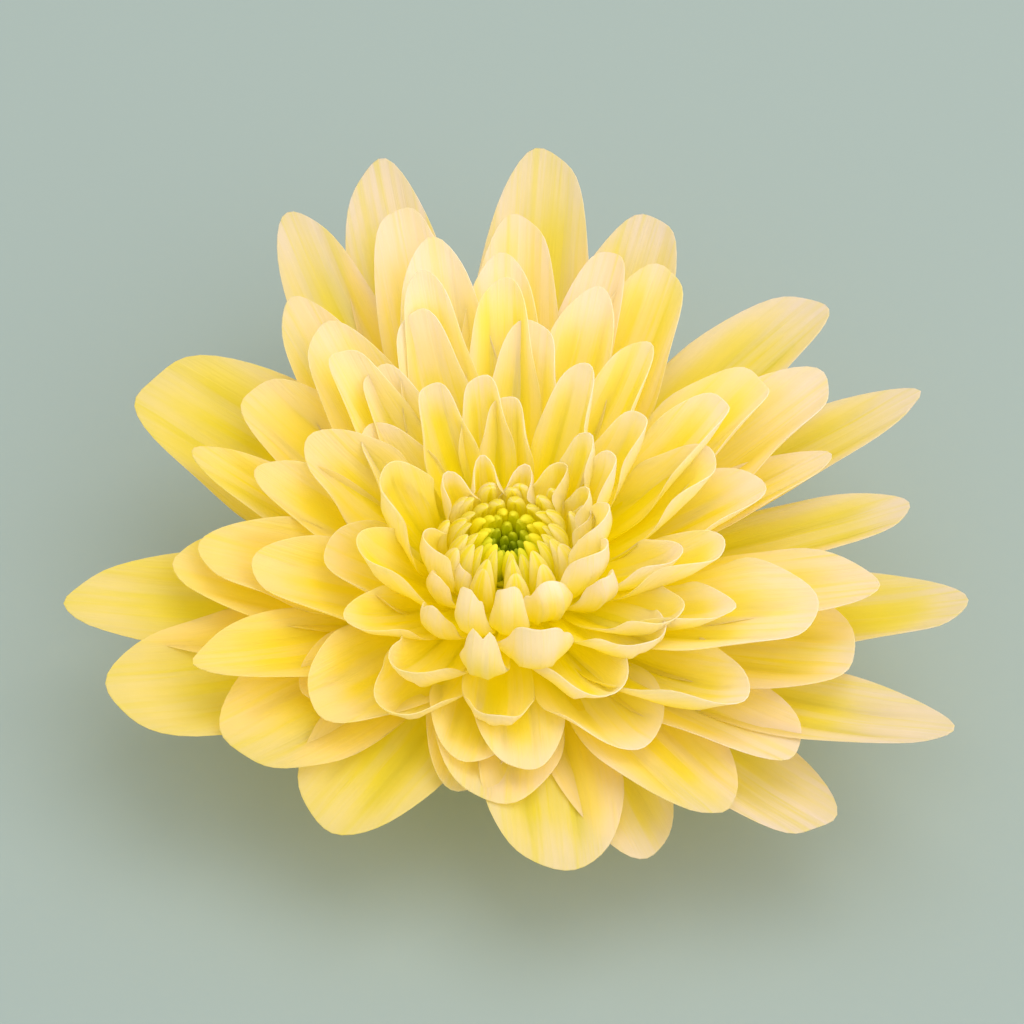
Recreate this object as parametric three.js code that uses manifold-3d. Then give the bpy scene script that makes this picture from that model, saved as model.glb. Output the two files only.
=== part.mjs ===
// A yellow decorative chrysanthemum bloom as picked, standing on its short cut stalk end.
// Millimetres, +Z up. The origin is the middle of the flat cut under the stalk, and the bloom's
// axis is the Z axis. An azimuth is counted counter-clockwise from +X.

import * as THREE from 'three';
import { mergeVertices } from 'three/addons/utils/BufferGeometryUtils.js';
import Module from 'manifold-3d';

const wasm = await Module();
wasm.setup();

// Stalk end, flaring into the receptacle that carries the head
const STALK_RADIUS = 2.8;
const FLARE_START = 3.0;
const RECEPTACLE_RADIUS = 8.0;
const RECEPTACLE_TOP = 8.7;
const STALK_SIDES = 20;
const FLARE_STEPS = 6;

// Involucre: overlapping bracts on the flare, rooted this far inside its surface
const BRACT_ROOT_DEPTH = 0.6;
const BRACT_THICKNESS = 0.6;
const BRACT_RISE = 26;
const BRACT_CUP = 0.5;
const BRACT_TAPER = 0.9;
const BRACT_BEND = 6;
const BRACT_STEPS = 2;
const BRACT_ACROSS = 2;
// Each ring of bracts: how many, root height, length and width in mm, and first azimuth in degrees
const BRACT_RINGS = [
  { count: 8, rootHeight: 4.6, length: 4.6, width: 3.4, first: 0 },
  { count: 9, rootHeight: 5.8, length: 4.4, width: 3.8, first: 20 },
  { count: 10, rootHeight: 7.1, length: 4.0, width: 4.2, first: 8 },
];

// Clearance between pieces that touch on the real bloom
const SEAT_GAP = 0.3;
// Corners closer than this are one corner
const WELD_DISTANCE = 1e-4;

// The dense core of the head that every ray floret is rooted in, as [radius, height] of its side
const CORE_BOTTOM = RECEPTACLE_TOP + SEAT_GAP;
const CORE_TOP = 14.0;
const CORE_SIDES = 16;
const CORE_SIDE = [[6.2, CORE_BOTTOM], [9.4, 10.4], [9.0, 11.2], [6.6, 13.0], [4.7, CORE_TOP]];

// Ray florets: thickness of the blade, and where along it the blade is widest
const FLORET_THICKNESS = 0.6;
const WIDEST_AT = 0.62;
const WIDENING = 1.2;
const NECK_SHARE = 0.3;
const TIP_HALF_WIDTH = 0.45;
const TAPER = 0.5;
const PULL = 0.4;
// Every blade is rolled a little, so that it lies over one neighbour and under the other
const LAP = -9;
// Florets on the far side of the bloom, towards +Y, climb this many degrees more, near ones less
const FAR_SIDE_RISE = 3;

// The layers of ray florets, from the outermost inwards. A floret is [azimuth, length, width, own]:
// length runs straight from root to tip in mm, and width is across its widest place in mm. The
// layer's values hold unless the floret has its own. In degrees: rise is the climb from root to
// tip, startTilt and endTilt are what the root and the tip climb beyond that, turn bows the blade
// sideways and roll twists its tip. Cup is how far the edges curl up, in radians. A low taper makes
// a blunt tip, and pull is how tightly a curled tip is bent. Steps and across are a blade's facets
// along it and the points across it.
const LAYERS = [
  {
    rootRadius: 6.2, rootHeight: 9.7, rise: 17, startTilt: -3, endTilt: 4, cup: 0.6, steps: 4, across: 2,
    florets: [
      [4, 30, 8],
      [21, 34.5, 8.5, { startTilt: -6, endTilt: 8, turn: 4, taper: 0.7 }],
      [41, 32.5, 10.5, { turn: 8, taper: 0.35 }],
      [69, 33, 10.5, { turn: -3 }],
      [85, 37.5, 11],
      [107, 37.5, 10, { turn: 6 }],
      [120, 35, 8.5, { turn: 6, taper: 0.4 }],
      [154, 31, 14.5, { turn: -5, taper: 0.4 }],
      [190, 33.5, 10.5, { rise: 14, turn: 4, taper: 0.7 }],
      [206, 31.5, 13, { rise: 13, startTilt: -8, endTilt: 8, cup: 0.45, turn: 4, taper: 0.4 }],
      [222, 25, 12.5, { rootHeight: 10.4, rise: 12, startTilt: 0, cup: 0.4, taper: 0.35 }],
      [239, 24, 12, { rise: 6, startTilt: 0, endTilt: -6, cup: 0.35, turn: 3, taper: 0.35 }],
      [278, 24.5, 12.5, {
        rootHeight: 9.9, rise: 6, startTilt: 2, endTilt: -4, cup: 0.35, turn: 4, taper: 0.3,
      }],
      [293, 24.5, 10, { rise: 2, startTilt: 2, endTilt: 0, cup: 0.35, taper: 0.6 }],
      [304, 27, 11, { rootHeight: 10.5, rise: 11, startTilt: 0, cup: 0.35, turn: -2, taper: 0.75 }],
      [315, 31, 10.5, { rise: 5, startTilt: 1, cup: 0.35, turn: -3, taper: 0.35 }],
      [329, 37.5, 9, { startTilt: -12, endTilt: 9, cup: 0.5, turn: -5 }],
      [347, 35, 10, { startTilt: -12, endTilt: 12 }],
    ],
  },
  {
    rootRadius: 5.8, rootHeight: 10.3, rise: 24, startTilt: -2, endTilt: 4, cup: 0.8, steps: 4, across: 2,
    florets: [
      [13, 25, 6.5],
      [26, 28, 11, { taper: 0.4 }],
      [62, 27.5, 10, { turn: -4 }],
      [72, 27.5, 7],
      [88, 29.5, 9],
      [107, 31.5, 8.5, { turn: 5 }],
      [130, 27, 8.5, { turn: 6 }],
      [148, 23.5, 10],
      [165, 24.5, 6, { turn: 6 }],
      [187, 25, 10, { rise: 21, turn: 10, taper: 0.7 }],
      [188, 23, 9.5, { rise: 26 }],
      [210, 26.5, 8, { startTilt: -8, endTilt: 8, taper: 0.7 }],
      [220, 18, 8, { rise: 17, cup: 0.5, taper: 0.7 }],
      [259, 17.5, 9, { rise: 8 }],
      [267, 19.5, 11.5, { rise: 11, startTilt: -2, endTilt: 4, cup: 0.4 }],
      [318, 27, 10, { rootHeight: 10.2, rise: 13, startTilt: -8, endTilt: 6, cup: 0.6, taper: 0.4 }],
      [336, 27.5, 12.5, { rootHeight: 10, rise: 17, startTilt: -8, endTilt: 6, cup: 0.5, roll: 10 }],
      [345, 28.5, 10],
    ],
  },
  {
    rootRadius: 5.4, rootHeight: 10.9, rise: 30, startTilt: -3, endTilt: 6, cup: 1.0, steps: 3, across: 2,
    florets: [
      [8, 19.5, 9, { taper: 0.4 }],
      [30, 24, 10, { taper: 0.4 }],
      [71, 23, 8.5, { turn: -3 }],
      [91, 25, 9],
      [104, 27, 9.5, { turn: 5 }],
      [131, 23.5, 9.5, { turn: 5 }],
      [156, 17, 9.5, { rootHeight: 11.2, rise: 37 }],
      [167, 19.5, 7.5, { turn: 4 }],
      [191, 13.5, 9.5, { rootHeight: 11.3, rise: 38, turn: 5 }],
      [194, 19.5, 9.5, { turn: 8 }],
      [228, 19.5, 11, { rise: 18, cup: 0.8 }],
      [260, 17, 9, { rise: 15, startTilt: -1, endTilt: 14, cup: 0.6 }],
      [273, 18, 8, { rootHeight: 11.4, rise: 14, cup: 0.4 }],
      [298, 19, 11, { across: 3, rise: 16, startTilt: -6, endTilt: 18, cup: 0.8, taper: 0.6 }],
      [316, 24, 10.5, {
        across: 3, rootHeight: 10.7, rise: 24, startTilt: -14, endTilt: 20, cup: 1.3, turn: -6,
      }],
      [333, 26.5, 12, { rise: 28, startTilt: -8, endTilt: 6, cup: 0.8, roll: 8 }],
    ],
  },
  {
    rootRadius: 5.0, rootHeight: 11.5, rise: 38, startTilt: -8, endTilt: 14, cup: 1.25, steps: 3, across: 2,
    florets: [
      [15, 17.5, 9],
      [26, 21, 8],
      [53, 20, 7],
      [83, 19, 8.5],
      [91, 22.5, 8],
      [109, 24, 7.5, { turn: 4 }],
      [113, 21, 8, { turn: 4 }],
      [129, 18, 7.5],
      [135, 21, 7],
      [141, 14, 7.5],
      [175, 15, 9, { across: 3, rise: 67 }],
      [204, 15, 8, { across: 3, rise: 54 }],
      [219, 15.5, 7, { taper: 0.7 }],
      [241, 17.5, 9, { across: 3, rootHeight: 11.9, rise: 22, startTilt: 0, endTilt: 40 }],
      [266, 15, 7, { across: 3, rootHeight: 12.3, rise: 22, startTilt: 2, endTilt: 60, cup: 1.0 }],
      [295, 15.5, 10, { across: 3, rise: 26, startTilt: -8, endTilt: 30, cup: 1.2, roll: -6 }],
      [331, 19.5, 7.5, { rise: 31, startTilt: -12, endTilt: 20, cup: 1.3, taper: 0.8 }],
      [345, 17.5, 8],
    ],
  },
  {
    rootRadius: 4.6, rootHeight: 12.1, rise: 48, startTilt: -14, endTilt: 22, cup: 1.4, steps: 3, across: 3,
    florets: [
      [24, 13, 5.5, { rise: 65 }],
      [36, 15.5, 6.5],
      [41, 13, 5, { rise: 68 }],
      [63, 16.5, 6.5],
      [90, 12.5, 6],
      [100, 14.5, 6],
      [119, 15, 6],
      [170, 13, 6, { rise: 61 }],
      [235, 11, 5, { rise: 51, startTilt: -32, endTilt: 64, cup: 1.4 }],
      [240, 16.5, 8, { rise: 32, startTilt: -12, endTilt: 35, cup: 1.4, pull: 0.5 }],
      [261, 15, 5, { rise: 51, startTilt: -29, endTilt: 82, cup: 1.2, pull: 0.5 }],
      [280, 14.5, 8, { rise: 50, startTilt: -20, endTilt: 58, pull: 0.5 }],
      [315, 15, 8.5, { rootHeight: 12.3, rise: 30, startTilt: 0, endTilt: 46, cup: 1.2 }],
      [326, 12, 6.5, { rise: 65 }],
      [325, 15, 8, { rise: 31, startTilt: -4, endTilt: 36, cup: 1.2 }],
      [343, 14, 6.5, { rise: 40, startTilt: -6, endTilt: 24 }],
      [348, 12, 7, { rise: 70 }],
    ],
  },
  {
    rootRadius: 4.3, rootHeight: 12.8, rise: 62, startTilt: -18, endTilt: 28, cup: 1.7, steps: 3, across: 3,
    florets: [
      [10, 7.5, 5, { rise: 67 }],
      [18, 9, 5, { rise: 70 }],
      [50, 8.5, 4.6],
      [76, 7, 4.4],
      [107, 8, 4.4],
      [135, 8, 4.6],
      [200, 9, 6.5, { rise: 68 }],
      [219, 7.5, 4, { startTilt: -35, endTilt: 60 }],
      [224, 6, 3.2, { rise: 78, startTilt: -24, endTilt: 40 }],
      [252, 12.5, 4.2, { rise: 61, startTilt: -44, endTilt: 73, cup: 1.4 }],
      [270, 12, 4, { rise: 63, startTilt: -42, endTilt: 70, cup: 1.2, taper: 0.3 }],
      [295, 8.5, 5.5, { rise: 66, startTilt: -51, endTilt: 85, cup: 1.3, taper: 0.4 }],
      [322, 10.5, 5, { rise: 52, startTilt: -35, endTilt: 58 }],
      [341, 7.5, 3.6, { rise: 69, startTilt: -20, endTilt: 20 }],
    ],
  },
];

// Young florets: folded fingers in rings round the heart, rooted in the same core. Depth is how
// thick a finger is, as a share of its width.
const YOUNG_RINGS = [
  {
    count: 11, first: 14, rootRadius: 4.5, rootHeight: 12.7, rise: 84, startTilt: -22, endTilt: 34,
    length: 6.5, width: 2.1, depth: 0.6,
  },
  {
    count: 13, first: 0, rootRadius: 4.3, rootHeight: 13.0, rise: 92, startTilt: -20, endTilt: 40,
    length: 6.3, width: 1.8, depth: 0.65,
  },
  {
    count: 15, first: 10, rootRadius: 4.1, rootHeight: 13.3, rise: 99, startTilt: -22, endTilt: 45,
    length: 5.8, width: 1.4, depth: 0.7,
  },
];
const FINGER_SIDES = 4;
// Places along a finger, with the share of its width that it has there, before its pointed tip
const FINGER_STATIONS = [[0, 0.75], [0.65, 1]];

// Heart: green unopened florets in a golden-angle spiral on a low dome, bent over its middle
const HEART_BOTTOM = CORE_TOP + SEAT_GAP;
const DOME_RADIUS = 3.0;
const DOME_SHOULDER_RADIUS = 2.6;
const DOME_SHOULDER = 0.5;
const DOME_HEIGHT = 0.7;
const DOME_SIDES = 12;
const GOLDEN_ANGLE = 137.5;
const HEART_RADIUS = 2.7;
const BUD_COUNT = 40;
const BUD_ROOT_HEIGHT = 14.5;
const BUD_DEPTH = 0.85;
// Length and width of the buds in the middle, and how much more those at the rim have
const BUD_LENGTH = 1.3;
const BUD_LENGTH_GAIN = 3.1;
const BUD_LENGTH_POWER = 1.3;
const BUD_WIDTH = 0.75;
const BUD_WIDTH_GAIN = 0.25;
// In degrees: how far a bud at the rim leans over, and how far its root and its tip bend from that
const BUD_LEAN = 10;
const BUD_START_TILT = -12;
const BUD_END_TILT = 62;

// Colours and roughness of the three pieces
const PLANT_GREEN = 0x8fa04e;
const STALK_ROUGHNESS = 0.6;
const PETAL_YELLOW = 0xf6cf45;
const PETAL_ROUGHNESS = 0.55;
const HEART_LIME = 0xa9bb1e;
const HEART_ROUGHNESS = 0.5;

/** The same angle in radians. */
function radians(degrees) {
  return THREE.MathUtils.degToRad(degrees);
}

/** A unit vector that climbs by so many degrees and points to an azimuth. */
function direction(climb, azimuth) {
  const level = Math.cos(radians(climb));
  return new THREE.Vector3(
    level * Math.cos(radians(azimuth)),
    level * Math.sin(radians(azimuth)),
    Math.sin(radians(climb)),
  );
}

/** Radius of the receptacle's flaring side at a height. */
function receptacleRadius(z) {
  const share = THREE.MathUtils.smoothstep(z, FLARE_START, RECEPTACLE_TOP);
  return STALK_RADIUS + (RECEPTACLE_RADIUS - STALK_RADIUS) * share;
}

/** Share of the full width that a blade has at s, from 0 at the root to 1 at the tip. */
function widthShare(s, taper) {
  const rise = Math.sin(Math.PI / 2 * Math.min(s / WIDEST_AT, 1)) ** WIDENING;
  const beyond = Math.max((s - WIDEST_AT) / (1 - WIDEST_AT), 0);
  const fall = (1 - beyond ** 2) ** taper;
  return (NECK_SHARE + (1 - NECK_SHARE) * rise) * fall;
}

/** Stations along a blade, closer together near the round tip. */
function stations(steps) {
  const straight = Math.floor(steps / 2);
  const list = [];
  for (let i = 0; i <= straight; i += 1) list.push(WIDEST_AT * i / straight);
  for (let i = 1; i <= steps - straight; i += 1) {
    list.push(WIDEST_AT + (1 - WIDEST_AT) * Math.sin(Math.PI / 2 * i / (steps - straight)));
  }
  return list;
}

/** The middle line of a floret: gives its place and its own axes at a share of its length. */
function middleLine(b) {
  const root = direction(0, b.azimuth).multiplyScalar(b.rootRadius).setZ(b.rootHeight);
  const tip = root.clone().addScaledVector(direction(b.rise, b.azimuth), b.length);
  const startAzimuth = b.azimuth + b.turn;
  const endAzimuth = b.azimuth - b.turn;
  const startHeading = direction(b.rise + b.startTilt, startAzimuth);
  const endHeading = direction(b.rise + b.endTilt, endAzimuth);
  const curve = new THREE.CubicBezierCurve3(
    root,
    root.clone().addScaledVector(startHeading, b.length * b.pull),
    tip.clone().addScaledVector(endHeading, -b.length * b.pull),
    tip,
  );
  return (share) => {
    const centre = curve.getPoint(share);
    const along = curve.getTangent(share);
    const heading = radians(startAzimuth + (endAzimuth - startAzimuth) * share);
    const side = new THREE.Vector3(-Math.sin(heading), Math.cos(heading), 0);
    side.addScaledVector(along, -side.dot(along)).normalize();
    side.applyAxisAngle(along, radians(b.lap + b.roll * share));
    const up = new THREE.Vector3().crossVectors(along, side);
    return { centre, side, up };
  };
}

/**
 * A closed strap-shaped blade with so many points across each face. It follows its middle line,
 * and its edges curl up by its cup.
 */
function blade(b) {
  const axesAt = middleLine(b);
  const positions = [];
  const indices = [];
  const rings = stations(b.steps);
  const shares = Array.from({ length: b.across }, (_, j) => 2 * j / (b.across - 1) - 1);
  for (const s of rings) {
    const { centre, side, up } = axesAt(s);
    const halfWidth = Math.max(b.width / 2 * widthShare(s, b.taper), TIP_HALF_WIDTH);
    const curl = halfWidth / b.cup;
    const place = (share, face) => {
      const angle = b.cup * share;
      const radius = curl - face * b.thickness / 2;
      const point = centre.clone().addScaledVector(up, curl - radius * Math.cos(angle));
      point.addScaledVector(side, radius * Math.sin(angle));
      positions.push(point.x, point.y, point.z);
    };
    // Upper face from one edge to the other, then the lower face back
    for (const share of shares) place(share, 1);
    for (const share of [...shares].reverse()) place(share, -1);
  }
  const around = 2 * b.across;
  for (let i = 0; i < rings.length - 1; i += 1) {
    for (let j = 0; j < around; j += 1) {
      const near = i * around + j;
      const next = i * around + (j + 1) % around;
      // The diagonals of the upper and lower face lie over each other
      if (j < b.across) {
        indices.push(near, near + around, next + around, near, next + around, next);
      } else {
        indices.push(near, near + around, next, next, near + around, next + around);
      }
    }
  }
  const last = (rings.length - 1) * around;
  for (let j = 0; j < b.across - 1; j += 1) {
    const opposite = around - 1 - j;
    for (const [p, q, r] of [[j, j + 1, opposite - 1], [j, opposite - 1, opposite]]) {
      indices.push(p, q, r);
      indices.push(last + p, last + r, last + q);
    }
  }
  const geometry = new THREE.BufferGeometry();
  geometry.setAttribute('position', new THREE.Float32BufferAttribute(positions, 3));
  geometry.setIndex(indices);
  return geometry;
}

/** A closed folded floret: a finger with few sides along its middle line, with a pointed tip. */
function finger(b) {
  const axesAt = middleLine(b);
  const positions = [];
  const indices = [];
  for (const [s, share] of FINGER_STATIONS) {
    const { centre, side, up } = axesAt(s);
    for (let j = 0; j < FINGER_SIDES; j += 1) {
      const angle = 2 * Math.PI * j / FINGER_SIDES;
      const reach = b.width / 2 * share;
      const point = centre.clone().addScaledVector(side, reach * Math.cos(angle));
      point.addScaledVector(up, reach * b.depth * Math.sin(angle));
      positions.push(point.x, point.y, point.z);
    }
  }
  const tip = axesAt(1).centre;
  positions.push(tip.x, tip.y, tip.z);
  const tipIndex = FINGER_STATIONS.length * FINGER_SIDES;
  for (let i = 0; i < FINGER_STATIONS.length; i += 1) {
    for (let j = 0; j < FINGER_SIDES; j += 1) {
      const near = i * FINGER_SIDES + j;
      const next = i * FINGER_SIDES + (j + 1) % FINGER_SIDES;
      if (i === FINGER_STATIONS.length - 1) {
        indices.push(near, next, tipIndex);
      } else {
        indices.push(near, next, next + FINGER_SIDES, near, next + FINGER_SIDES, near + FINGER_SIDES);
      }
    }
  }
  for (let j = 1; j < FINGER_SIDES - 1; j += 1) indices.push(0, j + 1, j);
  const geometry = new THREE.BufferGeometry();
  geometry.setAttribute('position', new THREE.Float32BufferAttribute(positions, 3));
  geometry.setIndex(indices);
  return geometry;
}

/** A solid of revolution about Z from a profile of [radius, height] points. */
function turned(profile, sides) {
  const points = profile.map(([radius, z]) => new THREE.Vector2(radius, z));
  return new THREE.LatheGeometry(points, sides).rotateX(Math.PI / 2);
}

/** A closed geometry as a solid that can be joined. */
function solid(geometry) {
  const bare = new THREE.BufferGeometry();
  bare.setAttribute('position', geometry.getAttribute('position'));
  bare.setIndex(geometry.getIndex());
  const merged = mergeVertices(bare, WELD_DISTANCE);
  return new wasm.Manifold(new wasm.Mesh({
    numProp: 3,
    vertProperties: new Float32Array(merged.getAttribute('position').array),
    triVerts: new Uint32Array(merged.getIndex().array),
  }));
}

/** All the geometries fused into one body, with sealed hollows filled and loose scraps dropped. */
function fused(geometries) {
  const whole = geometries.map(solid).reduce((sum, next) => sum.add(next));
  const bodies = whole.decompose().sort((a, b) => b.volume() - a.volume());
  const mesh = bodies[0].getMesh();
  const geometry = new THREE.BufferGeometry();
  geometry.setAttribute('position', new THREE.Float32BufferAttribute(mesh.vertProperties, 3));
  geometry.setIndex(Array.from(mesh.triVerts));
  return geometry;
}

/** The flared end of the stalk, cut flat at the bottom, with the bracts that grow on it. */
function stalkAndInvolucre() {
  const profile = [[0, 0], [STALK_RADIUS, 0]];
  for (let i = 0; i <= FLARE_STEPS; i += 1) {
    const z = FLARE_START + (RECEPTACLE_TOP - FLARE_START) * i / FLARE_STEPS;
    profile.push([receptacleRadius(z), z]);
  }
  profile.push([0, RECEPTACLE_TOP]);
  const pieces = [turned(profile, STALK_SIDES)];
  for (const ring of BRACT_RINGS) {
    for (let i = 0; i < ring.count; i += 1) {
      pieces.push(blade({
        ...ring,
        azimuth: ring.first + 360 * i / ring.count,
        rootRadius: receptacleRadius(ring.rootHeight) - BRACT_ROOT_DEPTH,
        rise: BRACT_RISE,
        startTilt: BRACT_BEND,
        endTilt: -BRACT_BEND,
        turn: 0,
        roll: 0,
        lap: LAP,
        cup: BRACT_CUP,
        taper: BRACT_TAPER,
        pull: PULL,
        thickness: BRACT_THICKNESS,
        steps: BRACT_STEPS,
        across: BRACT_ACROSS,
      }));
    }
  }
  return fused(pieces);
}

/** All the yellow florets, fused to the core that they grow from. */
function rayFlorets() {
  const core = turned([[0, CORE_BOTTOM], ...CORE_SIDE, [0, CORE_TOP]], CORE_SIDES);
  const plain = {
    turn: 0, roll: 0, lap: LAP, taper: TAPER, pull: PULL, thickness: FLORET_THICKNESS,
  };
  const pieces = [core];
  for (const layer of LAYERS) {
    for (const [azimuth, length, width, own] of layer.florets) {
      const rise = layer.rise + FAR_SIDE_RISE * Math.sin(radians(azimuth));
      pieces.push(blade({ ...plain, ...layer, rise, azimuth, length, width, ...own }));
    }
  }
  for (const ring of YOUNG_RINGS) {
    for (let i = 0; i < ring.count; i += 1) {
      pieces.push(finger({ ...plain, ...ring, azimuth: ring.first + 360 * i / ring.count }));
    }
  }
  return fused(pieces);
}

/** The green unopened florets in the middle, fused to the dome under them. */
function heartFlorets() {
  const pieces = [turned([
    [0, HEART_BOTTOM], [DOME_RADIUS, HEART_BOTTOM],
    [DOME_SHOULDER_RADIUS, HEART_BOTTOM + DOME_SHOULDER], [0, HEART_BOTTOM + DOME_HEIGHT],
  ], DOME_SIDES)];
  for (let i = 0; i < BUD_COUNT; i += 1) {
    const reach = Math.sqrt((i + 0.5) / BUD_COUNT);
    pieces.push(finger({
      azimuth: GOLDEN_ANGLE * i,
      rootRadius: HEART_RADIUS * reach,
      rootHeight: BUD_ROOT_HEIGHT,
      rise: 90 + BUD_LEAN * reach,
      startTilt: BUD_START_TILT * reach,
      endTilt: BUD_END_TILT * reach,
      length: BUD_LENGTH + BUD_LENGTH_GAIN * reach ** BUD_LENGTH_POWER,
      width: BUD_WIDTH + BUD_WIDTH_GAIN * reach,
      depth: BUD_DEPTH,
      turn: 0,
      roll: 0,
      lap: 0,
      pull: PULL,
    }));
  }
  return fused(pieces);
}

const group = new THREE.Group();

/** Adds one named piece with its colour and roughness. */
function add(name, geometry, color, roughness) {
  const material = new THREE.MeshStandardMaterial({ color, roughness, metalness: 0 });
  const mesh = new THREE.Mesh(geometry, material);
  mesh.name = name;
  group.add(mesh);
}

add('stalk_and_involucre', stalkAndInvolucre(), PLANT_GREEN, STALK_ROUGHNESS);
add('ray_florets', rayFlorets(), PETAL_YELLOW, PETAL_ROUGHNESS);
add('heart_florets', heartFlorets(), HEART_LIME, HEART_ROUGHNESS);

export default group;
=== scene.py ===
"""The looks of a yellow decorative chrysanthemum bloom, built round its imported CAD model."""
import math

import bpy
import numpy as np
from mathutils import Matrix, Vector


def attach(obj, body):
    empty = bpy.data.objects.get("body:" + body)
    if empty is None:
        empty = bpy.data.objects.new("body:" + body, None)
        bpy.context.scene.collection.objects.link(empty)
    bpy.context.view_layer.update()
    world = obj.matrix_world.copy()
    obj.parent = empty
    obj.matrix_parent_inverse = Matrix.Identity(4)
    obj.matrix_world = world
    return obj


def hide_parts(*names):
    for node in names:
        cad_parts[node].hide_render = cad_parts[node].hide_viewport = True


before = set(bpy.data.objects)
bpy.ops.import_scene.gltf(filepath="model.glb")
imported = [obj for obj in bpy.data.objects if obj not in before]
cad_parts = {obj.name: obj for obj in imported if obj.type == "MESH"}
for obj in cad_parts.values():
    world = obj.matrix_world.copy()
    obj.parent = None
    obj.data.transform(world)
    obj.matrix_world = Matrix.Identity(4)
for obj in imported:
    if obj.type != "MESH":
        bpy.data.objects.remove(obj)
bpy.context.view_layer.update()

# Metres in a millimetre
MM = 0.001

# Camera: 52 degrees above the horizon, looking along +Y, in mm
CAMERA_RISE = 52.0
CAMERA_DISTANCE = 350.0
CAMERA_AIM = (0.35, 5.96, 13.66)
CAMERA_LENS = 140.0
CAMERA_SENSOR = 36.0

# The nearest and farthest that the camera sees, in metres
CAMERA_CLIP = (0.01, 20)

# Stalk end and receptacle, in mm
STALK_RADIUS = 2.8
STALK_SIDES = 96
STALK_RIBS = 9
RIB_SHARE = 0.03
FLARE_FOOT = 0.15
FLARE_START = 3.0
FLARE_ROWS = 26
RECEPTACLE_RADIUS = 8.0
RECEPTACLE_TOP = 8.7

# The cut: a sunken pith, a flat ring that the bloom stands on, and a bevel round it
PITH_DEPTH = 0.18
PITH_RADIUS = 1.3
CUT_EDGE = [(2.0, 0.04), (2.5, 0.0), (STALK_RADIUS - 0.08, 0.03)]

# Involucre: bracts on the flare, with one rib each as shares of the bract's width
BRACT_ROOT_DEPTH = 0.6
BRACT_RISE = 26
BRACT_BEND = 6
BRACT_SWING = 2
BRACT_CUP = 0.5
BRACT_TAPER = 0.9
BRACT_THICKNESS = 0.35
BRACT_RIB_HEIGHT = 0.05
BRACT_RIB_WIDTH = 0.18
BRACT_RINGS = [
    dict(count=8, root_height=4.6, length=4.6, width=3.4, first=0),
    dict(count=9, root_height=5.8, length=4.4, width=3.8, first=20),
    dict(count=10, root_height=7.1, length=4.0, width=4.2, first=8),
]

# Core of the head, as (radius, height) of its side
CORE_BOTTOM = 9.0
CORE_TOP = 14.0
CORE_SIDE = [(6.2, CORE_BOTTOM), (9.4, 10.4), (9.0, 11.2), (6.6, 13.0), (4.7, CORE_TOP)]
CORE_SIDES = 120
CORE_RIPPLE = 0.02
CORE_RIPPLES = 30

# The core has a petal's colours from its base to this share of its length
CORE_TONE = 0.05

# Ray florets: where along the blade it is widest, how it widens from its neck, and the usual tip
WIDEST_AT = 0.62
WIDENING = 1.2
NECK_SHARE = 0.3
TAPER = 0.5
PULL = 0.4

# Each blade laps its neighbour by this roll, and those on the far side climb more, in degrees
LAP = -9
FAR_SIDE_RISE = 3

# The cup is this share at the root, where a petal lies close under its neighbours, and more by
# the hood at the tip. The ranges are shares of the length.
ROOT_CUP = 0.35
ROOT_CUP_RANGE = (0.2, 0.8)
HOOD = 0.4
HOOD_RANGE = (0.55, 1)

# Thickness in mm, the share of it that is left at rims and tip, and how late it thins towards them
FLORET_THICKNESS = 0.28
RIM_SHARE = 0.3
RIM_THINNING = 6
TIP_THINNING = 12

# Tips: how uneven they are as a share of the length, in waves counted in radians per half width,
# and the width of a notch as a share of the half width
TIP_UNEVENNESS = 0.012
TIP_RIPPLES = 5.0
NOTCH_WIDTH = 0.2

# Relief of a petal. Places and widths are shares of the half width, depths and heights are shares
# of the width, and the ranges along it are shares of the length. Each petal draws its own.
GROOVE_PLACE = (0.28, 0.42)
GROOVE_DEPTH = (0.025, 0.06)
GROOVE_WIDTH = 0.11
MIDDLE_DEPTH = (0.0, 0.05)
MIDDLE_WIDTH = 0.13
GROOVES_START = (0, 0.35)
GROOVES_END = (0.8, 1)
WAVE_HEIGHT = (0.015, 0.05)
WAVE_COUNT = (1.0, 2.4)
WAVES_START = (0.2, 0.7)
WAVE_SHIFT = 1.7
WAVE_RIM_POWER = 3
CREASE_ROUNDING = 0.01

# Points along and across a blade, which is small below this width in mm, and how the points crowd
# towards its tip
LARGE_GRID = (42, 24)
SMALL_GRID = (26, 16)
SMALL_WIDTH = 5.5
TIP_CROWDING = 1.6

# What each point carries for its material: its place along and across its floret, whether it is on
# the lower side, the floret's own random number, and a value that paints shade on outer florets
# above 0 and marks young florets below 0. Turned solids have the plain seed.
POINT_VALUES = ("along", "across", "under", "seed", "tint")
PLAIN_SEED = 0.5

# Seeds of the random draws; a layer adds its number
LAYER_DRAWS = 100
RING_DRAWS = 200
HEART_DRAWS = 300
BRACT_DRAWS = 400

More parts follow.
